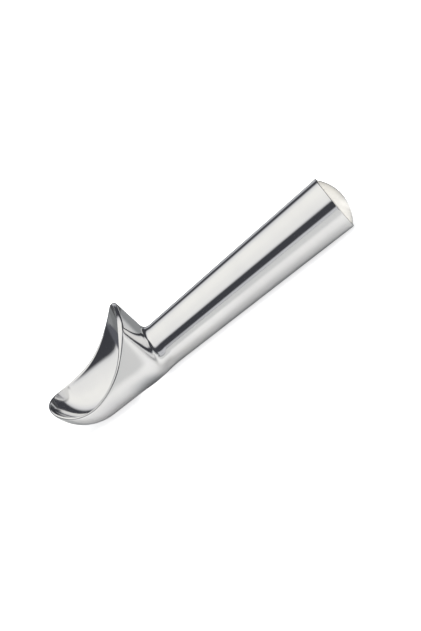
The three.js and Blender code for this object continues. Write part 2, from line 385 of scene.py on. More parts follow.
FINISHES: dict[Slot, Finish] = {
    Slot.METAL: PolishedAluminium(
        name="polished_aluminium",
        colour=srgb(236, 236, 236),
        shade=srgb(232, 232, 233),
        roughness=0.09,
        roughness_spread=0.02,
        metallic=1.0,
        grain_scale=90.0,
        grain_height=0.000012,
    ),
    Slot.CAP: Finish(
        name="ivory_plastic",
        colour=srgb(250, 247, 241),
        shade=srgb(248, 244, 235),
        roughness=0.12,
        roughness_spread=0.03,
        coat=1.0,
        grain_scale=700.0,
        grain_height=0.000004,
    ),
    Slot.PLUG: Finish(
        name="moulded_plug",
        colour=srgb(150, 152, 155),
        shade=srgb(138, 140, 143),
        roughness=0.5,
        roughness_spread=0.06,
    ),
    Slot.RING: Finish(
        name="ring_rubber",
        colour=srgb(34, 34, 36),
        shade=srgb(28, 28, 30),
        roughness=0.65,
        roughness_spread=0.08,
        grain_scale=3000.0,
    ),
    Slot.FLUID: Finish(
        name="handle_liquid",
        colour=srgb(206, 219, 200),
        shade=srgb(200, 214, 192),
        roughness=0.06,
        roughness_spread=0.02,
        grain_scale=120.0,
    ),
}


# Shape of the casting


def solve(low: Any, high: Any, is_below: Callable[[Array], Array], rounds: int = 44) -> Array:
    """Find where a test turns from true to false, for every element at once.

    Args:
        low: Values, or one value, at which the test holds.
        high: Values, or one value, at which it doesn't.
        is_below: The test.
        rounds: Halvings.

    Returns:
        The turning values.
    """
    low, high = np.broadcast_arrays(np.asarray(low, float), np.asarray(high, float))
    for _ in range(rounds):
        middle = (low + high) / 2
        below = is_below(middle)
        low = np.where(below, middle, low)
        high = np.where(below, high, middle)
    return (low + high) / 2


def smooth(value: Array, start: float, end: float) -> Array:
    """Smooth rise of a value from 0 at start to 1 at end."""
    share = np.clip((value - start) / (end - start), 0.0, 1.0)
    return share * share * (3 - 2 * share)


def points(x: Any, y: Any, z: Any) -> Array:
    """Stack coordinates, of any matching shapes, into points."""
    return np.stack(np.broadcast_arrays(x, y, z), axis=-1).astype(float)


@dataclass
class BowlSizes:
    """Sizes of the bowl and its rim, as in the part's source, with the rounding of the rim's edges.

    The rounds are shares of the rim's width, and the sides have a round of their own between stations.
    """

    diameter: float = 50.0
    length: float = 66.0
    lift: float = 0.6
    nose_length: float = 26.4
    back_length: float = 21.2
    back_fullness: float = 0.32
    back_lean: float = 2.2
    lip_drop: float = 0.8
    rim_low_height: float = 18.6
    rim_low_setback: float = 18.9
    peak_height: float = 45.2
    rim_wall: float = 1.9
    lip_wall: float = 1.5
    back_wall: float = 1.8
    floor_wall: float = 4.5
    flare_height: float = 12.5
    back_flare: float = 0.22
    inner_nose_end: float = 25.0
    inner_nose_fullness: float = 2.0
    inner_back_length: float = 20.0
    inner_back_fullness: float = 4.0
    rim_edge: float = 0.8
    rim_shoulder: float = 1.7
    rim_round: float = 0.87
    side_round: float = 0.6
    inner_round: float = 0.8
    side_start: float = 6.0
    side_fade: float = 36.0
    side_end: float = 52.0

    @property
    def radius(self) -> float:
        """Half the diameter."""
        return self.diameter / 2

    @property
    def axis_height(self) -> float:
        """Height of the bowl's axis over the table."""
        return self.lift + self.radius

    @property
    def back_start(self) -> float:
        """Station where the back begins to round."""
        return self.length - self.back_length

    @property
    def seam_x(self) -> float:
        """Station where the open sections give way to the back."""
        return self.back_start + self.back_length / 2

    @property
    def peak_x(self) -> float:
        """Station of the peak."""
        return self.length - self.back_lean * (self.peak_height - self.axis_height) / self.radius

    def rim_height(self, x: Array) -> Array:
        """Height of the rim: level at its low point, through the lip and the peak.

        Args:
            x: Stations.

        Returns:
            Heights.
        """
        low = self.rim_low_setback
        peak = self.peak_x - low
        lip_rise = (self.axis_height - self.lip_drop - self.rim_low_height) / low**2
        peak_rise = (self.peak_height - self.rim_low_height) / peak**2
        cubic = (peak_rise - lip_rise) / (peak + low)
        square = lip_rise + cubic * low
        run = x - low
        return self.rim_low_height + square * run**2 + cubic * run**3


class BowlForm(ABC):
    """A body like a bowl, open upwards, told by its half width at each station and height."""

    def __init__(self, sizes: BowlSizes) -> None:
        """Take the sizes of the bowl."""
        self.sizes = sizes

    @abstractmethod
    def half_width_at(self, x: Array, z: Array) -> Array:
        """Half the width at a station and a height.

        Args:
            x: Stations.
            z: Heights.

        Returns:
            Half widths, negative below the floor.
        """

    def holds(self, p: Array) -> Array:
        """Tell which points are inside."""
        return self.half_width_at(p[..., 0], p[..., 2]) > np.abs(p[..., 1])

    def floor_height(self, x: float) -> float:
        """Height of the floor on the middle plane at a station."""
        top = self.sizes.rim_height(x)
        return float(solve(0.0, top, lambda z: self.half_width_at(x, z) <= 0))

    def arcs(self, line: Array, steps: int, seam_pole: float) -> Array:
        """Sections that hang from a line, each swept by its angle about a pole from left to right.

        Args:
            line: Points from the lip to the seam, on the right.
            steps: Steps in an arc.
            seam_pole: Height of the pole at the seam.

        Returns:
            Points, by station and step.
        """
        sizes = self.sizes
        stations = line[:, 0]
        sink = smooth(stations, sizes.nose_length, sizes.seam_x)
        pole = sizes.axis_height + (seam_pole - sizes.axis_height) * sink
        end = np.arctan2(line[:, 1], pole - line[:, 2])
        angle = end[:, None] * np.linspace(-1.0, 1.0, steps + 1)[None, :]
        x = stations[:, None]

        def ray(reach: Array) -> Array:
            """Points at a distance from the pole."""
            return points(x, reach * np.sin(angle), pole[:, None] - reach * np.cos(angle))

        farthest = 2 * sizes.diameter
        reach = solve(np.zeros(angle.shape), farthest, lambda d: self.holds(ray(d)))
        made = ray(reach)
        made[0] = line[0]
        return made


class Outside(BowlForm):
    """The outside: half a circle below and upright walls above, with a nose and a full back in plan."""

    def half_width_at(self, x: Array, z: Array) -> Array:
        """Half the width at a station and a height.

        Args:
            x: Stations.
            z: Heights.

        Returns:
            Half widths, negative below the floor.
        """
        sizes = self.sizes
        in_nose = x < sizes.nose_length
        ahead = np.clip(1 - x / sizes.nose_length, 0.0, 1.0)
        nose = sizes.radius * np.sqrt(1 - ahead**2)
        lean = sizes.back_lean * (z - sizes.axis_height) / sizes.radius
        share = np.clip((x - sizes.back_start) / (sizes.back_length - lean), 0.0, 1.0)
        back = sizes.radius * (1 - share**2) ** sizes.back_fullness
        width = np.where(in_nose, nose, back)
        floor = sizes.lift * (1 - smooth(x, sizes.back_start, sizes.seam_x))
        centre = np.where(in_nose, sizes.axis_height, floor + width)
        squared = width**2 - np.maximum(centre - z, 0.0) ** 2
        return np.where(squared < 0, -1.0, np.sqrt(np.maximum(squared, 0.0)))


class Cavity(BowlForm):
    """The cavity: oval sections that flare at the rim, with a round nose and a back that leans out."""

    @property
    def floor(self) -> float:
        """Height of the lowest floor."""
        return self.sizes.lift + self.sizes.floor_wall

    def _steepness(self, rim: Array) -> Array:
        """Share of the oval's height that lies over a rim's height."""
        flare = self.sizes.flare_height
        return flare / (rim + flare - self.floor)

    def half_width_at(self, x: Array, z: Array) -> Array:
        """Half the width at a station and a height.

        Args:
            x: Stations.
            z: Heights.

        Returns:
            Half widths, negative below the floor.
        """
        sizes = self.sizes
        rim = sizes.rim_height(x)
        upright = rim + sizes.flare_height
        below = np.maximum(upright - z, 0.0) / (upright - self.floor)
        outer = np.sqrt(sizes.radius**2 - np.maximum(sizes.axis_height - rim, 0.0) ** 2)
        widest = (outer - sizes.rim_wall) / np.sqrt(1 - self._steepness(rim) ** 2)
        nose_power = sizes.inner_nose_fullness
        at_lip = 1 - self._steepness(sizes.rim_height(sizes.lip_wall)) ** 2
        nose_length = (sizes.inner_nose_end - sizes.lip_wall) / at_lip ** (1 / nose_power)
        ahead = np.maximum((sizes.inner_nose_end - x) / nose_length, 0.0)
        back_power = sizes.inner_back_fullness
        at_peak = 1 - self._steepness(sizes.peak_height) ** 2
        reach = sizes.inner_back_length * at_peak ** (1 / back_power)
        start = sizes.peak_x - sizes.back_wall - reach - sizes.back_flare * (sizes.peak_height - z)
        behind = np.maximum((x - start) / sizes.inner_back_length, 0.0)
        squared = 1 - below**2 - ahead**nose_power - behind**back_power
        return np.where(squared > 0, widest * np.sqrt(np.maximum(squared, 0.0)), -1.0)


class Rim:
    """The right half of the rim: its outer edge from the lip to the peak, and the way in from it.

    The first four values bound the searches along the bowl and across the rim.
    """

    before_lip = -1.0
    past_peak = 5.0
    outermost = -3.0
    innermost = 12.0
    finer = 30

    def __init__(self, outside: Outside, bowl_steps: int, peak_steps: int) -> None:
        """Trace the outer edge.

        Args:
            outside: The outside of the bowl.
            bowl_steps: Steps from the lip to the seam, close together at the lip.
            peak_steps: Steps from the seam to the peak.
        """
        sizes = outside.sizes

        def width(x: Array) -> Array:
            """Half the width on the rim."""
            return outside.half_width_at(x, sizes.rim_height(x))

        def back_station(half: Array) -> Array:
            """Where the rim behind the seam has a half width."""
            end = sizes.length + self.past_peak
            return solve(np.full(half.shape, sizes.seam_x), end, lambda x: width(x) > half)

        lip = float(solve(self.before_lip, sizes.nose_length, lambda x: width(x) <= 0))
        front = lip + (sizes.seam_x - lip) * (1 - np.cos(np.linspace(0.0, math.pi / 2, bowl_steps + 1)))
        turns = np.linspace(0.0, math.pi / 2, self.finer * peak_steps)
        fine = width(np.array(sizes.seam_x)) * np.cos(turns)
        back_run = np.diff(back_station(fine), prepend=sizes.seam_x)
        gone = np.cumsum(np.hypot(back_run, np.diff(fine, prepend=fine[0])))
        across = np.interp(np.linspace(0.0, gone[-1], peak_steps + 1), gone, fine)
        x = np.concatenate([front, back_station(across[1:])])
        y = np.concatenate([np.maximum(width(front), 0.0), across[1:]])
        self.seam = bowl_steps
        self.edge = points(x, y, sizes.rim_height(x))
        nudge = 0.001
        slope = (width(x + nudge) - width(x - nudge)) / (2 * nudge)
        inward = np.stack([slope, np.full(x.shape, -1.0)], axis=-1)
        inward[0] = (1.0, 0.0)
        inward[-1] = (-1.0, 0.0)
        self.inward = inward / np.linalg.norm(inward, axis=-1, keepdims=True)

    def line(self, form: BowlForm, drop: float) -> Array:
        """Where a level line in from the edge, or from below it, meets a form.

        Args:
            form: The outside or the cavity.
            drop: Depth below the edge.

        Returns:
            Points from the lip to the peak.
        """

        def level(run: Array) -> Array:
            """Points at a run in from the edge."""
            place = self.edge[:, :2] + run[:, None] * self.inward
            return points(place[:, 0], place[:, 1], self.edge[:, 2] - drop)

        start = np.full(len(self.edge), self.outermost)
        run = solve(start, self.innermost, lambda r: ~form.holds(level(r)))
        made = level(run)
        made[[0, -1], 1] = 0.0
        return made


@dataclass
class HandleSizes:
    """Sizes of the handle and its hollow, as in the part's source.

    The end's edge is rounder than there, and the crease at the neck's sides is tighter. The crease's
    rise and fall are in degrees round the handle from straight down.
    """

    neck_diameter: float = 25.0
    end_diameter: float = 32.0
    length: float = 121.5
    end_edge: float = 0.7
    crease_radius: float = 4.2
    side_crease_radius: float = 1.4
    side_crease_rise: tuple[float, float] = (30.0, 56.0)
    side_crease_fall: tuple[float, float] = (62.0, 92.0)
    crease_share: float = 0.85
    blend_power: float = 4.0
    longest_blend: float = 6.0
    least_step: float = 0.02
    end_rim_width: float = 1.2
    cap_seat_depth: float = 2.2
    cap_seat_step: float = 1.7
    cap_seat_bevel: float = 0.15
    bore_depth: float = 13.0
    plug_seat_step: float = 1.3
    chamber_front_diameter: float = 19.2
    chamber_nose_length: float = 4.5
    web: float = 3.0
    clearance: float = 0.3
    plug_length: float = 7.0
    cap_dome_height: float = 5.6
    cap_edge_height: float = 0.3
    cap_edge_round: float = 0.25
    cap_shell: float = 1.8
    cap_skirt_shell: float = 1.4
    cap_rib_height: float = 0.4
    cap_rib_width: float = 0.9

    @property
    def taper(self) -> float:
        """Growth of the radius along the axis."""
        return (self.end_diameter - self.neck_diameter) / 2 / self.length

    @property
    def tilt(self) -> float:
        """Lean of the axis that lays the underside flat, in radians."""
        return math.asin(self.taper)

    @property
    def neck_height(self) -> float:
        """Height of the axis at the neck."""
        return self.neck_diameter / 2 * math.cos(self.tilt)

    @property
    def cap_seat_radius(self) -> float:
        """Radius of the counterbore that takes the cap's rim."""
        return self.end_diameter / 2 - self.end_rim_width

    @property
    def bore_radius(self) -> float:
        """Radius of the bore that takes the plug and the cap's skirt."""
        return self.cap_seat_radius - self.cap_seat_step

    @property
    def cap_seat(self) -> float:
        """Distance along the axis of the counterbore's floor."""
        return self.length - self.cap_seat_depth

    @property
    def plug_seat(self) -> float:
        """Distance along the axis of the bore's floor."""
        return self.cap_seat - self.bore_depth

    def radius(self, along: Array) -> Array:
        """Radius of the taper at a distance along the axis."""
        return self.neck_diameter / 2 + self.taper * along


class HandleFrame:
    """Places along, around and out from the handle's axis."""

    def __init__(self, bowl: BowlSizes, handle: HandleSizes) -> None:
        """Set the frame up.

        Args:
            bowl: Sizes of the bowl.
            handle: Sizes of the handle.
        """
        tilt = handle.tilt
        self.neck = np.array([bowl.length, 0.0, handle.neck_height])
        self.axis = np.array([math.cos(tilt), 0.0, math.sin(tilt)])
        self.down = np.array([math.sin(tilt), 0.0, -math.cos(tilt)])
        self.side = np.array([0.0, 1.0, 0.0])

    def point(self, along: Array, radius: Array, angle: Array) -> Array:
        """Points from their places.

        Args:
            along: Distances along the axis from the neck.
            radius: Distances from the axis.
            angle: Angles from straight down, towards +Y.

        Returns:
            Points.
        """
        along, radius, angle = np.broadcast_arrays(along, radius, angle)
        out = np.cos(angle)[..., None] * self.down + np.sin(angle)[..., None] * self.side
        return self.neck + along[..., None] * self.axis + radius[..., None] * out

    def place(self, p: Array) -> tuple[Array, Array, Array]:
        """Places of points.

        Args:
            p: Points.

        Returns:
            Distances along the axis, radii and angles.
        """
        run = p - self.neck
        down = run @ self.down
        side = run @ self.side
        return run @ self.axis, np.hypot(down, side), np.arctan2(side, down)


def bend(start: Array, corner: Array, end: Array, steps: int) -> list[Array]:
    """Points of a rounded corner between two points, without them.

    Args:
        start: First point.
        corner: The sharp corner.
        end: Last point.
        steps: Steps of the curve.

    Returns:
        The points between.
    """
    made = []
    for k in range(1, steps):
        t = k / steps
        made.append((1 - t) ** 2 * start + 2 * t * (1 - t) * corner + t * t * end)
    return made


def finish_mesh(mesh: bpy.types.Mesh, sharp_angle: float) -> None:
    """Weld a closed mesh, turn its faces outwards and shade it smooth.

    Args:
        mesh: The mesh.
        sharp_angle: Angle between faces, in degrees, past which an edge stays sharp.
    """
    body = bmesh.new()
    body.from_mesh(mesh)
    bmesh.ops.remove_doubles(body, verts=body.verts, dist=WELD)
    bmesh.ops.dissolve_degenerate(body, edges=body.edges, dist=SLIVER)
    bmesh.ops.recalc_face_normals(body, faces=body.faces)
    body.to_mesh(mesh)
    body.free()
    mesh.shade_smooth()
    mesh.set_sharp_from_angle(angle=math.radians(sharp_angle))


@dataclass
class MeshGrid:
    """Quads gathered from grids of points, in millimetres from the bowl's tip."""

    vertices: list[Array] = field(default_factory=list)
    quads: list[Array] = field(default_factory=list)
    count: int = 0

    def add(self, grid: Array, closed: bool) -> None:
        """Add a grid.

        Args:
            grid: Points by row and column.
            closed: Whether the rows close on themselves.
        """
        rows, columns = grid.shape[:2]
        number = np.arange(rows * columns).reshape(rows, columns) + self.count
        if closed:
            number = np.concatenate([number, number[:, :1]], axis=1)
        corners = (number[:-1, :-1], number[1:, :-1], number[1:, 1:], number[:-1, 1:])
        self.vertices.append(grid.reshape(-1, 3))
        self.quads.append(np.stack(corners, axis=-1).reshape(-1, 4))
        self.count += rows * columns

    def mesh(self, name: str, shift: float, sharp_angle: float) -> bpy.types.Mesh:
        """Make one closed, smooth mesh.

        Args:
            name: The mesh's name.
            shift: Shift along X, in millimetres.
            sharp_angle: Angle between faces, in degrees, past which an edge stays sharp.

        Returns:
            The mesh, in metres.
        """
        vertices = np.concatenate(self.vertices) + np.array([shift, 0.0, 0.0])
        quads = np.concatenate(self.quads)
        made = bpy.data.meshes.new(name)
        made.from_pydata((vertices * METRE).tolist(), [], quads.tolist())
        finish_mesh(made, sharp_angle)
        return made


class ScoopCasting:
    """Bowl and handle in one casting, with rounded rim edges."""

    node = "scoop_casting"
    arc_steps = 150
    bowl_steps = 100
    peak_steps = 50
    wall_steps = 22
    blend_steps = 24
    handle_steps = 12
    corner_steps = 30
    edge_steps = 8
    nose_steps = 8
    sharp_angle = 35.0

    def __init__(self, bowl: BowlSizes, handle: HandleSizes) -> None:
        """Set up the outside and the cavity.

        Args:
            bowl: Sizes of the bowl.
            handle: Sizes of the handle.
        """
        self.bowl = bowl
        self.handle = handle
        self.frame = HandleFrame(bowl, handle)
        self.outside = Outside(bowl)
        self.cavity = Cavity(bowl)

    @property
    def overall_length(self) -> float:
        """Length from the bowl's tip to the top of the cap's dome."""
        handle = self.handle
        return self.bowl.length + (handle.length + handle.cap_dome_height) * math.cos(handle.tilt)

    def _rim_section(self, lines: tuple[Array, Array, Array, Array]) -> Array:
        """Points across the rim, from the outer wall over two rounded edges to the inner wall.

        Args:
            lines: Below the outer edge, the outer edge, the inner edge and below the inner edge.

        Returns:
            Points by station and place across the rim.
        """
        outer_low, outer, inner, inner_low = lines
        across = inner - outer
        bowl = self.bowl
        station = outer[:, :1]
        past_lip = smooth(station, bowl.side_start, bowl.rim_low_setback)
        at_side = past_lip * (1 - smooth(station, bowl.side_fade, bowl.side_end))
        share = bowl.rim_round + (bowl.side_round - bowl.rim_round) * at_side
        outer_top = outer + across * share
        inner_top = inner - across * (1 - share) * bowl.inner_round
        row = [outer_low]
        row += bend(outer_low, outer, outer_top, self.edge_steps)
        row += [outer_top, inner_top]
        row += bend(inner_top, inner, inner_low, self.edge_steps)
        row.append(inner_low)
        return np.stack(row, axis=1)

    def _blend_lines(self, start: Array) -> Array:
        """Lines from the bowl's back, round the blend, onto the handle.

        Args:
            start: Points that the lines start from.

        Returns:
            Points by step and line.
        """
        handle = self.handle
        along, radius, angle = self.frame.place(start)

        def in_bowl(s: Array, r: Array) -> Array:
            """Tell which places are inside the bowl's outside."""
            return self.outside.holds(self.frame.point(s, r, angle))

        def back_at(r: Array) -> Array:
            """Distance along the axis of the bowl's back at a radius."""
            return solve(along, handle.length / 2, lambda s: in_bowl(s, r))

        stands = radius - handle.radius(along) > handle.least_step
        foot = solve(np.zeros(radius.shape), radius, lambda r: r < handle.radius(back_at(r)))
        foot = np.where(stands, foot, radius)
        turn = np.degrees(np.abs(angle))
        at_side = smooth(turn, *handle.side_crease_rise) * (1 - smooth(turn, *handle.side_crease_fall))
        leg = handle.crease_radius + (handle.side_crease_radius - handle.crease_radius) * at_side
        top_radius = foot + np.minimum(leg, handle.crease_share * (radius - foot))
        nudge = 0.02
        top = np.where(stands, back_at(top_radius), along)
        slope = (back_at(top_radius - nudge) - top) / nudge
        drop = top_radius - handle.radius(top)
        run = np.maximum(drop * slope / (1 + handle.taper * slope), 0.0)
        power = handle.blend_power
        run = run / (1 + (run / handle.longest_blend) ** power) ** (1 / power)
        run = np.where(stands, run, handle.longest_blend)
        knee = top + run
        knee_radius = handle.radius(knee)
        end = knee + np.hypot(run, knee_radius - top_radius)
        rows = [start]
        for k in range(1, self.wall_steps):
            r = radius + (top_radius - radius) * (k / self.wall_steps)
            rows.append(self.frame.point(np.where(stands, back_at(r), along), r, angle))
        first = np.stack([top, top_radius], axis=-1)
        middle = np.stack([knee, knee_radius], axis=-1)
        last = np.stack([end, handle.radius(end)], axis=-1)
        curve = [first, *bend(first, middle, last, self.blend_steps), last]
        rows += [self.frame.point(c[..., 0], c[..., 1], angle) for c in curve]
        stop = handle.length - handle.end_edge
        for k in range(1, self.handle_steps + 1):
            s = end + (stop - end) * (k / self.handle_steps)
            rows.append(self.frame.point(s, handle.radius(s), angle))
        return np.stack(rows)

    def _cavity_back(self, loop: Array, seam_x: float, pole: float) -> Array:
        """The cavity's back, in rings that close in on one point.

        Args:
            loop: Points of the cavity's section at the seam and of the rim's inside behind it.
            seam_x: Station of the seam.
            pole: Height of the point.

        Returns:
            Points by ring and place.
        """
        rows = [loop]
        for k in range(1, self.corner_steps + 1):
            share = 1 - k / self.corner_steps
            y = loop[:, 1] * share
            z = pole + (loop[:, 2] - pole) * share
            x = solve(seam_x, self.bowl.length, lambda at: self.cavity.half_width_at(at, z) > np.abs(y))
            rows.append(points(x, y, z))
        return np.stack(rows)

    def _hollow_profile(self) -> list[tuple[float, float]]:
        """The handle's end and hollow.

        Returns:
            Radii and distances along the axis, from the outer edge to the chamber's front.
        """
        handle = self.handle
        end = handle.length
        edge = handle.end_edge
        radius = handle.end_diameter / 2
        first = np.array([radius, end - edge])
        last = np.array([radius - edge, end])
        profile = [tuple(p) for p in bend(first, np.array([radius, end]), last, self.edge_steps)]
        bevel = handle.cap_seat_bevel
        seat = handle.cap_seat_radius
        profile += [(radius - edge, end), (seat + bevel, end), (seat, end - bevel)]
        chamber_end = handle.bore_radius - handle.plug_seat_step
        chamber_front = handle.chamber_front_diameter / 2
        top = handle.neck_height + chamber_front
        bowl = self.bowl
        back = solve(bowl.back_start, bowl.length, lambda x: self.cavity.half_width_at(x, top) > 0)
        front = float(back) + handle.web - bowl.length
        profile += [
            (seat, handle.cap_seat),
            (handle.bore_radius, handle.cap_seat),
            (handle.bore_radius, handle.plug_seat),
            (chamber_end, handle.plug_seat),
        ]
        for turn in np.linspace(0.0, math.pi / 2, self.nose_steps + 1):
            depth = handle.chamber_nose_length * math.sin(turn)
            profile.append((chamber_front * math.cos(turn), front - depth))
        profile[-1] = (0.0, profile[-1][1])
        return profile

    def build(self) -> bpy.types.Object:
        """Make the casting's mesh.

        Returns:
            The casting, in the frame of the part.
        """
        bowl = self.bowl
        rim = Rim(self.outside, self.bowl_steps, self.peak_steps)
        seam = rim.seam
        outer_low = rim.line(self.outside, bowl.rim_shoulder)
        inner_low = rim.line(self.cavity, bowl.rim_edge)
        edges = (rim.line(self.outside, 0.0), rim.line(self.cavity, 0.0))
        right = self._rim_section((outer_low, *edges, inner_low))
        mirror = np.array([1.0, -1.0, 1.0])
        inner_seam = float(inner_low[seam, 0])
        inner_pole = (self.cavity.floor_height(inner_seam) + float(bowl.rim_height(inner_seam))) / 2
        outer = self.outside.arcs(outer_low[: seam + 1], self.arc_steps, self.handle.neck_height)
        inner = self.cavity.arcs(inner_low[: seam + 1], self.arc_steps, inner_pole)
        front = right[: seam + 1, 1:-1]
        grid = MeshGrid()
        grid.add(np.concatenate([outer, front, inner[:, ::-1], front[:, ::-1] * mirror], axis=1), True)
        back = np.concatenate([right[seam:], right[-2 : seam - 1 : -1] * mirror])
        grid.add(back, False)
        outer_loop = np.concatenate([outer[-1], back[1:-1, 0]])
        blend = self._blend_lines(outer_loop)
        angle = self.frame.place(outer_loop)[2]
        hollow = [self.frame.point(s, r, angle) for r, s in self._hollow_profile()]
        grid.add(np.concatenate([blend, np.stack(hollow)]), True)
        inner_loop = np.concatenate([inner[-1, ::-1], back[-2:0:-1, -1]])
        grid.add(self._cavity_back(inner_loop, inner_seam, inner_pole), True)
        mesh = grid.mesh("polished_casting", -self.overall_length / 2, self.sharp_angle)
        return add_object("polished_casting", mesh)


class EndCap:
    """The ivory cap, turned from its profile by Geometry Nodes.

    The row margin keeps the first point of a row from being counted with the row before.
    """

    node = "end_cap"
    dome_steps = 36
    turn_steps = 160
    edge_steps = 5
    rib_count = 2
    sharp_angle = 40.0
    row_margin = 0.0001
    weld = 1e-6

    def __init__(self, casting: ScoopCasting) -> None:
        """Take the sizes from the casting that holds the cap."""
        self.casting = casting
        self.handle = casting.handle

    def profile(self) -> list[tuple[float, float]]:
        """The cap's section.

        Returns:
            Radii and distances along the axis, from the dome's inside over the skirt to its top.
        """
        handle = self.handle
        rim = handle.cap_seat_radius - handle.clearance
        skirt = handle.bore_radius - handle.clearance - handle.cap_rib_height
        seat = handle.cap_seat + handle.clearance
        skirt_end = handle.plug_seat + handle.plug_length + 2 * handle.clearance
        inside = skirt - handle.cap_skirt_shell
        rise = handle.cap_dome_height - handle.cap_edge_height
        dome_radius = (rim**2 + rise**2) / (2 * rise)
        centre = handle.length + handle.cap_dome_height - dome_radius
        inner = dome_radius - handle.cap_shell
        made = [(r, centre + math.sqrt(inner**2 - r**2)) for r in np.linspace(0.0, inside, self.dome_steps)]
        made += [(inside, skirt_end), (skirt, skirt_end)]
        pitch = (seat - skirt_end) / (self.rib_count + 1)
        steep_side = handle.cap_rib_width / 3
        for rib in range(1, self.rib_count + 1):
            middle = skirt_end + rib * pitch
            crest = (skirt + handle.cap_rib_height, middle)
            made += [(skirt, middle - handle.cap_rib_width), crest, (skirt, middle + steep_side)]
        made += [(skirt, seat), (rim, seat)]
        edge = handle.cap_edge_round
        start = rim - edge
        low = np.array([rim, handle.length + handle.cap_edge_height - edge])
        corner = np.array([rim, handle.length + handle.cap_edge_height])
        top = np.array([start, centre + math.sqrt(dome_radius**2 - start**2)])
        made += [tuple(p) for p in (low, *bend(low, corner, top, self.edge_steps))]
        for r in np.linspace(start, 0.0, self.dome_steps):
            made.append((r, centre + math.sqrt(dome_radius**2 - r**2)))
        return made

    def tree(self, material: bpy.types.Material) -> bpy.types.GeometryNodeTree:
        """The tree that turns a line of points about Z.

        Args:
            material: Finish of the turned piece.

        Returns:
            The tree, with an input for the count of steps round the turn.
        """
        tree = bpy.data.node_groups.new("turned_piece", "GeometryNodeTree")
        graph = Graph(tree)
        tree.interface.new_socket("Profile", in_out="INPUT", socket_type="NodeSocketGeometry")
        tree.interface.new_socket("Turn Steps", in_out="INPUT", socket_type="NodeSocketInt")
        tree.interface.new_socket("Turned", in_out="OUTPUT", socket_type="NodeSocketGeometry")
        given = tree.nodes.new("NodeGroupInput")
        profile = Signal(graph, given.outputs["Profile"])
        steps = Signal(graph, given.outputs["Turn Steps"])
        rows = graph.node("GeometryNodeAttributeDomainSize", {}, {0: profile}, "Point Count")
        columns = steps + 1.0
        grid = graph.node("GeometryNodeMeshGrid", {}, {"Vertices X": rows, "Vertices Y": columns}, "Mesh")
        index = graph.node("GeometryNodeInputIndex")
        row = (index / columns + self.row_margin).floor()
        angle = (index - row * columns) / steps * (2 * math.pi)
        position = graph.node("GeometryNodeInputPosition")
        on_line = graph.node(
            "GeometryNodeSampleIndex",
            {"data_type": "FLOAT_VECTOR"},
            {"Geometry": profile, "Value": position, "Index": row},
        )
        radius, _, along = graph.split(on_line)
        turned = graph.node(
            "ShaderNodeCombineXYZ",
            {},
            {"X": radius * angle.cos(), "Y": radius * angle.sin(), "Z": along},
        )
        placed = graph.node("GeometryNodeSetPosition", {}, {"Geometry": grid, "Position": turned})
        merged = graph.node("GeometryNodeMergeByDistance", {}, {"Geometry": placed, "Distance": self.weld})
        real = graph.node("GeometryNodeRealizeInstances", {}, {"Geometry": merged})
        dressed = graph.node("GeometryNodeSetMaterial", {}, {"Geometry": real, "Material": material})
        graph.node("NodeGroupOutput", {}, {"Turned": dressed})
        return tree

    def build(self, material: bpy.types.Material) -> bpy.types.Object:
        """Make the cap.

        Args:
            material: Its finish.

        Returns:
            The cap, in the frame of the part.
        """
        line = [(r * METRE, 0.0, s * METRE) for r, s in self.profile()]
        source = bpy.data.meshes.new("cap_profile")
        source.from_pydata(line, [(k, k + 1) for k in range(len(line) - 1)], [])
        made = add_object("ivory_cap", source)
        modifier = made.modifiers.new("turn", "NODES")
        modifier.node_group = self.tree(material)
        for item in modifier.node_group.interface.items_tree:
            if item.name == "Turn Steps":
                modifier[item.identifier] = self.turn_steps
        graph = bpy.context.evaluated_depsgraph_get()
        mesh = bpy.data.meshes.new_from_object(made.evaluated_get(graph))
        made.modifiers.remove(modifier)
        made.data = mesh
        frame = self.casting.frame
        turn = Matrix(np.stack([frame.down, frame.side, frame.axis], axis=1).tolist()).to_4x4()
        shift = np.array([-self.casting.overall_length / 2, 0.0, 0.0])
        place = Matrix.Translation(Vector((frame.neck + shift) * METRE))
        mesh.transform(place @ turn)
        finish_mesh(mesh, self.sharp_angle)
        return made


# Studio


@dataclass(frozen=True)
class PhotoCamera:
    """The camera, fitted to the photograph."""

    azimuth: float = 7.8854
    elevation: float = 26.1761
    roll: float = 41.5342
    target_x: float = 2.1596
    target_z: float = 8.5891
    distance: float = 900.0
    pixels_per_mm: float = 1.8835
    sensor: float = 36.0

    def build(self) -> bpy.types.Object:
        """Make the camera the scene's own.

        Returns:
            The camera.
        """
        az = math.radians(self.azimuth)
        el = math.radians(self.elevation)
        roll = math.radians(self.roll)
        back = Vector((math.sin(az) * math.cos(el), -math.cos(az) * math.cos(el), math.sin(el)))
        right = Vector((math.cos(az), math.sin(az), 0.0))
        up = back.cross(right)
        across = math.cos(roll) * right - math.sin(roll) * up
        above = math.sin(roll) * right + math.cos(roll) * up
        place = (Vector((self.target_x, 0.0, self.target_z)) + self.distance * back) * METRE
        data = bpy.data.cameras.new("camera")
        data.sensor_fit = "AUTO"
        data.sensor_width = self.sensor
        data.lens = self.sensor * self.pixels_per_mm * self.distance / max(IMAGE_WIDTH, IMAGE_HEIGHT)
        data.clip_start = 0.01
        data.clip_end = 50.0
        made = add_object("camera", data)
        turn = Matrix((across, above, back)).transposed().to_4x4()
        made.matrix_world = Matrix.Translation(place) @ turn
        bpy.context.scene.camera = made
        return made


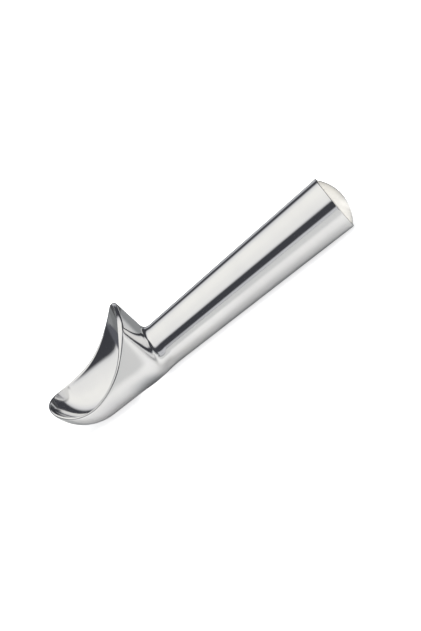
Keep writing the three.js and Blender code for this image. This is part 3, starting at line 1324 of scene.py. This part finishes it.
@dataclass(frozen=True)
class Tent:
    """A long light tent overhead, with the dark room showing below its edges.

    Levels are brightness, and fades run over the turn about X, as a share of half a turn from the
    front, or over a direction's X and Y.
    """

    room: float = 0.055
    table_front: float = 0.62
    table_back: float = 0.55
    left_end: float = 0.12
    right_end: float = 0.06
    front_low: Fade = Fade(6 / 180, 13 / 180)
    front_reach: Fade = Fade(-0.3, -0.18)
    back_low: Fade = Fade(157 / 180, 170 / 180)
    back_reach: Fade = Fade(0.15, 0.35)
    left: Fade = Fade(0.8, 0.92)
    right: Fade = Fade(0.86, 0.92)
    right_corner: Fade = Fade(0.76, 0.84)
    right_front: Fade = Fade(0.28, 0.42)
    warm: tuple[float, float, float] = (1.01, 1.0, 0.963)
    cool: tuple[float, float, float] = (0.96, 1.0, 1.16)

    def _tone(self, level: float) -> tuple[float, float, float, float]:
        """A light's colour: cool where it is dark and warm where it is bright.

        Args:
            level: Brightness.

        Returns:
            The colour.
        """
        share = min(level, 1.0)
        red, green, blue = (c + (w - c) * share for c, w in zip(self.cool, self.warm))
        return (level * red, level * green, level * blue, 1.0)

    def build(self) -> None:
        """Make the world, which is plain white to the camera."""
        world = bpy.data.worlds.new("tent")
        world.use_nodes = True
        bpy.context.scene.world = world
        graph = Graph(world.node_tree)
        direction = graph.node("ShaderNodeTexCoord", output="Generated")
        x, y, z = graph.split(direction)
        turn = z.angle_to(-y) / math.pi
        # Brightness by degrees from the front, over the top, to the back
        levels = {
            0.0: self.room,
            35.0: self.room,
            42.0: 0.8,
            50.0: 0.91,
            70.0: 0.95,
            92.0: 1.0,
            116.0: 0.99,
            127.0: 0.88,
            136.0: 0.75,
            146.0: self.room,
            180.0: self.room,
        }
        stops = [(degrees / 180, self._tone(level)) for degrees, level in levels.items()]
        light = graph.node("ShaderNodeValToRGB", {"stops": stops}, {0: turn}, "Color")
        front = (1.0 - self.front_low.at(turn)) * self.front_reach.at(x)
        back = self.back_low.at(turn) * (1.0 - self.back_reach.at(x))
        right = self.right.at(x).most(self.right_corner.at(x) * self.right_front.at(-y))
        ends = (
            (front, self.table_front),
            (back, self.table_back),
            (self.left.at(-x), self.left_end),
            (right, self.right_end),
        )
        for share, level in ends:
            light = graph.blend(share, light, self._tone(level))
        camera = graph.node("ShaderNodeLightPath", output="Is Camera Ray")
        colour = graph.blend(camera, light, (1.0, 1.0, 1.0, 1.0))
        background = graph.node("ShaderNodeBackground", {}, {"Color": colour, "Strength": 1.0})
        graph.node("ShaderNodeOutputWorld", {}, {"Surface": background})


@dataclass(frozen=True)
class Table:
    """A white table that keeps the object's shadow, with painted shade and a painted shadow in its colour.

    Fades run over metres from the middle. Heights and dims are painted losses of brightness: a painted
    shadow under the object and, in the mirror, painted shade further from a painted pool of light. A glow
    is the share of the painted loss behind the object that is given back as painted light.
    """

    size: float = 12.0
    gap: float = 0.0002
    # Painted shade turns cooler where it is darker.
    painted_shade_chill: float = 0.06
    near_lift: float = 0.03
    camera_lift: float = 0.75
    # Painted shade: fades of the table's colour further from a painted pool of light.
    front_near: Fade = Fade(0.03, 0.065, 0.13)
    front_far: Fade = Fade(0.03, 0.3, 0.15)
    back_near: Fade = Fade(0.03, 0.065, 0.66)
    back_drop: Fade = Fade(0.096, 0.108, 0.93)
    back_far: Fade = Fade(0.108, 0.3, 0.95)
    left: Fade = Fade(0.09, 0.17, 0.65)
    right: Fade = Fade(0.115, 0.2, 0.65)
    left_painted_glow: Fade = Fade(0.128, 0.15, 0.2)
    handle_start: Fade = Fade(0.0, 0.04)
    handle_end: Fade = Fade(0.075, 0.095)
    handle_painted_glow: float = 0.7
    cap_along: Fade = Fade(0.07, 0.085)
    cap_behind: Fade = Fade(0.012, 0.035, 0.93)
    neck_start: Fade = Fade(-0.058, -0.045)
    neck_end: Fade = Fade(-0.043, -0.031)
    neck_side: Fade = Fade(0.017, 0.034)
    neck_painted_shade: float = 0.5
    # Painted shadow: the table's colour darkens right under the object.
    painted_shadow_side: Fade = Fade(0.004, 0.012)
    painted_shadow_dim: float = 0.35
    painted_shadow_end: Fade = Fade(0.0, 0.09, 0.2)
    # Painted light: a brighter band in front of the object that only mirrors see.
    strip_start: Fade = Fade(0.012, 0.024)
    strip_end: Fade = Fade(0.034, 0.06)
    painted_band_lift: float = 0.2
    strip_loss: Fade = Fade(0.0, 0.03, 0.08)

    def build(self) -> None:
        """Make the table, just below the object."""
        half = self.size / 2
        mesh = bpy.data.meshes.new("floor")
        corners = [(-half, -half, 0.0), (half, -half, 0.0), (half, half, 0.0), (-half, half, 0.0)]
        mesh.from_pydata(corners, [], [(0, 1, 2, 3)])
        mesh.materials.append(self._material())
        made = add_object("floor", mesh)
        made.location.z = -self.gap

    def _painted_falloff(self, x: Signal, y: Signal) -> Signal:
        """Painted shade: loss of the table's brightness further from a painted pool of light.

        Args:
            x: Along the object.
            y: Across it.

        Returns:
            The loss, from 0 to 1.
        """
        # Painted shade in front of and behind the object.
        front = self.front_near.at(-y).most(self.front_far.at(-y))
        behind = self.back_near.at(y).most(self.back_drop.at(y)).most(self.back_far.at(y))
        # Painted light: part of the painted loss is given back along the handle and at the left end.
        handle = self.handle_start.until(self.handle_end, x) * self.handle_painted_glow
        painted_light_share = self.left_painted_glow.at(-x).most(handle)
        # Painted shade on the table behind the cap.
        cap = self.cap_along.at(x) * self.cap_behind.at(y)
        # Painted shade on the table beside the neck.
        neck = self.neck_start.until(self.neck_end, x) * self.neck_painted_shade
        neck = (1.0 - self.neck_side.at(abs(y))) * neck
        made = front.most(behind * (1.0 - painted_light_share)).most(cap).most(neck)
        return made.most(self.left.at(-x)).most(self.right.at(x))

    def _material(self) -> bpy.types.Material:
        """The white of the table, with painted shade and a painted shadow in its colour.

        Returns:
            A matt material with a glow of its own for the camera and, less, for mirrors, which also see a
            painted bright band.
        """
        made = bpy.data.materials.new("white_floor")
        made.use_nodes = True
        graph = Graph(made.node_tree)
        x, y, _ = graph.split(graph.node("ShaderNodeTexCoord", output="Object"))
        painted_loss = self._painted_falloff(x, y)
        # Painted shadow: the table's colour darkens right under the object, on top of its real shadow.
        painted_shadow = self.painted_shadow_end.at(x) + self.painted_shadow_dim
        painted_dim = painted_loss.most((1.0 - self.painted_shadow_side.at(abs(y))) * painted_shadow)
        # Painted shade: the table's colour is white less the painted losses.
        tone = 1.0 - painted_dim
        # Painted shade turns cooler where it is darker.
        red = tone * (1.0 - painted_dim * self.painted_shade_chill)
        blue = tone * (1.0 + painted_dim * self.painted_shade_chill)
        shade = graph.node("ShaderNodeCombineColor", {}, {0: red, 1: tone, 2: blue})
        matt = graph.node("ShaderNodeBsdfDiffuse", {}, {"Color": shade})
        camera = graph.node("ShaderNodeLightPath", output="Is Camera Ray")
        paths = camera.socket.node.outputs
        mirrored = Signal(graph, paths["Is Glossy Ray"])
        mirrored = mirrored.most(Signal(graph, paths["Is Transmission Ray"]))
        # Painted light: a brighter band in front of the object, in the glow for mirrors only.
        painted_band = self.strip_start.until(self.strip_end, -y)
        painted_band = painted_band * (self.painted_band_lift - self.strip_loss.at(x))
        # The camera's glow makes up the painted shade, but not the painted shadow under the object.
        lift = camera * (painted_loss + self.camera_lift) + mirrored * (painted_band + self.near_lift)
        glow = graph.node("ShaderNodeEmission", {}, {"Strength": lift})
        both = graph.node("ShaderNodeAddShader", {}, {0: matt, 1: glow})
        graph.node("ShaderNodeOutputMaterial", {}, {"Surface": both})
        return made


@dataclass(frozen=True)
class EndLamp:
    """A soft low lamp that lights the capped end, out of the metal's reflections."""

    power: float = 1.6
    place: tuple[float, float, float] = (0.6, -0.06, 0.09)
    width: float = 0.3
    height: float = 0.12

    def build(self) -> None:
        """Make the lamp, which faces the cap."""
        data = bpy.data.lights.new("end_lamp", "AREA")
        data.shape = "RECTANGLE"
        data.size = self.width
        data.size_y = self.height
        data.energy = self.power
        made = add_object("end_lamp", data)
        made.location = self.place
        made.rotation_euler = (math.pi / 2, 0.0, math.pi / 2)
        made.visible_camera = False
        made.visible_glossy = False


# Assembly


def dress(piece: bpy.types.Object, material: bpy.types.Material) -> None:
    """Give a piece one material."""
    piece.data.materials.clear()
    piece.data.materials.append(material)


def add_piece(piece: bpy.types.Object, node: str) -> None:
    """Let a piece stand for a node of the frame.

    Args:
        piece: The finished piece.
        node: The node that it replaces.
    """
    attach(piece, BODY)
    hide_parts(node)
    LOG.info("%s stands for %s with %d faces", piece.name, node, len(piece.data.polygons))


def main() -> None:
    """Build the scene: camera, studio, casting, cap, and the pieces in the handle."""
    logging.basicConfig(level=logging.INFO, format="%(name)s: %(message)s")
    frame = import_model()
    PhotoCamera().build()
    bpy.context.scene.view_settings.view_transform = "Standard"
    for part in (Tent(), Table(), EndLamp()):
        part.build()
    materials = {slot: finish.material() for slot, finish in FINISHES.items()}
    casting = ScoopCasting(BowlSizes(), HandleSizes())
    metal = casting.build()
    dress(metal, materials[Slot.METAL])
    add_piece(metal, casting.node)
    cap = EndCap(casting)
    ivory = cap.build(materials[Slot.CAP])
    dress(ivory, materials[Slot.CAP])
    add_piece(ivory, cap.node)
    inside = {"chamber_plug": Slot.PLUG, "plug_o_ring": Slot.RING, "heat_fluid": Slot.FLUID}
    for node, slot in inside.items():
        dress(frame["nodes"][node], materials[slot])
        LOG.info("%s keeps its solid and gets %s", node, materials[slot].name)


if __name__ == "__main__":
    main()
